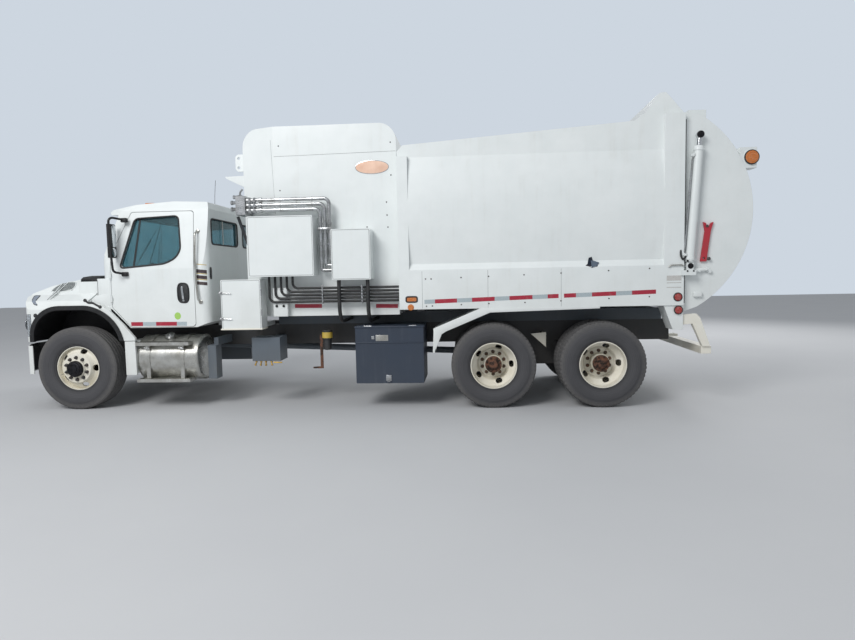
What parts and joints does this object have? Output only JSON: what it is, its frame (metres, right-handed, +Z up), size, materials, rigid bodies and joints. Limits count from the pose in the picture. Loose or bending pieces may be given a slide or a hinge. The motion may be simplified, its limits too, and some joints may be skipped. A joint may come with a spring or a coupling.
{
  "type": "side-loading garbage truck",
  "caption": "Three-axle garbage truck with a conventional cab, a tall side-loading hopper with its lifting arm, a hollow body and a curved tailgate lifted by cylinders",
  "frame": {"origin": "on the ground at the middle of the truck: the centre of the bottom of its bounding box", "axes": "+X rearward along the truck, +Y to the truck's right, +Z up"},
  "size_m": [9.356, 2.552, 3.7348],
  "materials": {
    "white_paint": "gloss",
    "blue_grey_paint": "satin",
    "chassis_black": "satin",
    "cast_iron": "rough",
    "underbody_grey": "satin",
    "white_arm_paint": "worn",
    "cream_steel": "satin",
    "tyre_rubber": "matte",
    "glazing": "tinted",
    "black_plastic": "satin",
    "grey_plastic": "grained",
    "seat_vinyl": "vinyl",
    "tank_aluminium": "brushed",
    "bright_steel": "satin",
    "cylinder_white": "gloss",
    "rod_chrome": "polished",
    "hose_rubber": "matte",
    "headlamp_lens": "clear over reflector",
    "lamp_lens": "moulded lens",
    "lamp_box_paint": "gloss",
    "worn_cream_steel": "worn",
    "red_paint": "satin"
  },
  "bodies": {
    "truck": {"frame_rails": "chassis_black", "body_subframe": "blue_grey_paint", "front_axle": "chassis_black", "rear_axles": "chassis_black", "engine_block": "cast_iron", "front_bumper": "chassis_black", "cab_shell": "white_paint", "cab_glass": "glazing", "seats": "seat_vinyl", "dashboard": "grey_plastic", "fuel_tank": "tank_aluminium", "tool_box": "chassis_black", "side_boxes": "white_paint", "underbody_units": "underbody_grey", "steel_pipes": "bright_steel", "hoses": "hose_rubber", "hopper": "white_paint", "body_shell": "white_paint", "rear_fenders": "white_paint", "front_mudguards": "white_paint", "rear_bumper": "worn_cream_steel", "lamps": "lamp_lens", "tow_eyes": "worn_cream_steel"},
    "hood": {"hood": "white_paint", "grille": "black_plastic", "headlamps": "headlamp_lens", "fender_flares": "black_plastic"},
    "door_left": {"door_left": "white_paint", "door_glass_left": "glazing", "mirror_left": "black_plastic"},
    "door_right": {"door_right": "white_paint", "door_glass_right": "glazing", "mirror_right": "black_plastic"},
    "knuckle_left": {"knuckle_left": "cast_iron"},
    "knuckle_right": {"knuckle_right": "cast_iron"},
    "wheel_front_left": {"tyre_front_left": "tyre_rubber", "rim_front_left": "cream_steel"},
    "wheel_front_right": {"tyre_front_right": "tyre_rubber", "rim_front_right": "cream_steel"},
    "tailgate": {"tailgate": "white_paint", "tailgate_lamps": "lamp_box_paint", "gate_props": "red_paint"},
    "gate_barrels": {"gate_barrels": "cylinder_white"},
    "gate_rods": {"gate_rods": "rod_chrome"},
    "packer": {"packer": "white_arm_paint"},
    "arm_carriage": {"arm_carriage": "white_arm_paint"},
    "lift_arm": {"lift_arm": "white_arm_paint"},
    "gripper_front": {"gripper_front": "white_arm_paint"},
    "gripper_rear": {"gripper_rear": "white_arm_paint"},
    "wheel_rear_1_left": {"tyre_rear_1_left": "tyre_rubber", "rim_rear_1_left": "cream_steel"},
    "wheel_rear_1_right": {"tyre_rear_1_right": "tyre_rubber", "rim_rear_1_right": "cream_steel"},
    "wheel_rear_2_left": {"tyre_rear_2_left": "tyre_rubber", "rim_rear_2_left": "cream_steel"},
    "wheel_rear_2_right": {"tyre_rear_2_right": "tyre_rubber", "rim_rear_2_right": "cream_steel"}
  },
  "joints": [
    {"name": "hood_tilt", "type": "hinge", "parent": "truck", "child": "hood", "pos_m": [-4.56, 0, 0.9], "axis": [0, -1, 0], "range_deg": [0, 60]},
    {"name": "door_left_hinge", "type": "hinge", "parent": "truck", "child": "door_left", "pos_m": [-3.3, -1.132, 1.7], "axis": [0, 0, -1], "range_deg": [0, 70]},
    {"name": "door_right_hinge", "type": "hinge", "parent": "truck", "child": "door_right", "pos_m": [-3.3, 1.132, 1.7], "axis": [0, 0, 1], "range_deg": [0, 70]},
    {"name": "steer_left", "type": "hinge", "parent": "truck", "child": "knuckle_left", "pos_m": [-3.795, -0.86, 0.538], "axis": [0, 0, 1], "range_deg": [-35, 35]},
    {"name": "wheel_front_left_spin", "type": "hinge", "parent": "knuckle_left", "child": "wheel_front_left", "pos_m": [-3.795, -1.044, 0.538], "axis": [0, 1, 0], "continuous": true},
    {"name": "wheel_rear_1_left_spin", "type": "hinge", "parent": "truck", "child": "wheel_rear_1_left", "pos_m": [1.566, -0.909, 0.525], "axis": [0, 1, 0], "continuous": true},
    {"name": "wheel_rear_2_left_spin", "type": "hinge", "parent": "truck", "child": "wheel_rear_2_left", "pos_m": [2.886, -0.909, 0.525], "axis": [0, 1, 0], "continuous": true},
    {"name": "steer_right", "type": "hinge", "parent": "truck", "child": "knuckle_right", "pos_m": [-3.795, 0.86, 0.538], "axis": [0, 0, 1], "range_deg": [-35, 35]},
    {"name": "wheel_front_right_spin", "type": "hinge", "parent": "knuckle_right", "child": "wheel_front_right", "pos_m": [-3.795, 1.044, 0.538], "axis": [0, 1, 0], "continuous": true},
    {"name": "wheel_rear_1_right_spin", "type": "hinge", "parent": "truck", "child": "wheel_rear_1_right", "pos_m": [1.566, 0.909, 0.525], "axis": [0, 1, 0], "continuous": true},
    {"name": "wheel_rear_2_right_spin", "type": "hinge", "parent": "truck", "child": "wheel_rear_2_right", "pos_m": [2.886, 0.909, 0.525], "axis": [0, 1, 0], "continuous": true},
    {"name": "tailgate_hinge", "type": "hinge", "parent": "truck", "child": "tailgate", "pos_m": [3.836, 0, 3.56], "axis": [0, -1, 0], "range_deg": [0, 90]},
    {"name": "gate_barrel_tilt", "type": "hinge", "parent": "truck", "child": "gate_barrels", "pos_m": [3.885, 0, 1.7], "axis": [0, 1, 0], "range_deg": [-1, 8]},
    {"name": "gate_rod_slide", "type": "slide", "parent": "gate_barrels", "child": "gate_rods", "axis": [0.0687, 0, 0.9976], "range_m": [0, 0.52]},
    {"name": "packer_slide", "type": "slide", "parent": "truck", "child": "packer", "axis": [1, 0, 0], "range_m": [0, 0.9]},
    {"name": "arm_reach", "type": "slide", "parent": "truck", "child": "arm_carriage", "axis": [0, 1, 0], "range_m": [0, 1.3]},
    {"name": "arm_lift", "type": "hinge", "parent": "arm_carriage", "child": "lift_arm", "pos_m": [-1.185, 0.985, 1.8], "axis": [1, 0, 0], "range_deg": [0, 150]},
    {"name": "gripper_front_close", "type": "hinge", "parent": "lift_arm", "child": "gripper_front", "pos_m": [-1.445, 1.1, 0.85], "axis": [0, 0, -1], "range_deg": [0, 80]},
    {"name": "gripper_rear_close", "type": "hinge", "parent": "lift_arm", "child": "gripper_rear", "pos_m": [-0.925, 1.1, 0.85], "axis": [0, 0, 1], "range_deg": [0, 80]}
  ],
  "couplings": [
    {"joint": "steer_right", "follows": "steer_left", "ratio": 1},
    {"joint": "gate_barrel_tilt", "follows": "tailgate_hinge", "ratio": 0.04604},
    {"joint": "gate_rod_slide", "follows": "tailgate_hinge", "m_per_rad": 0.32187},
    {"joint": "gripper_rear_close", "follows": "gripper_front_close", "ratio": 1}
  ]
}
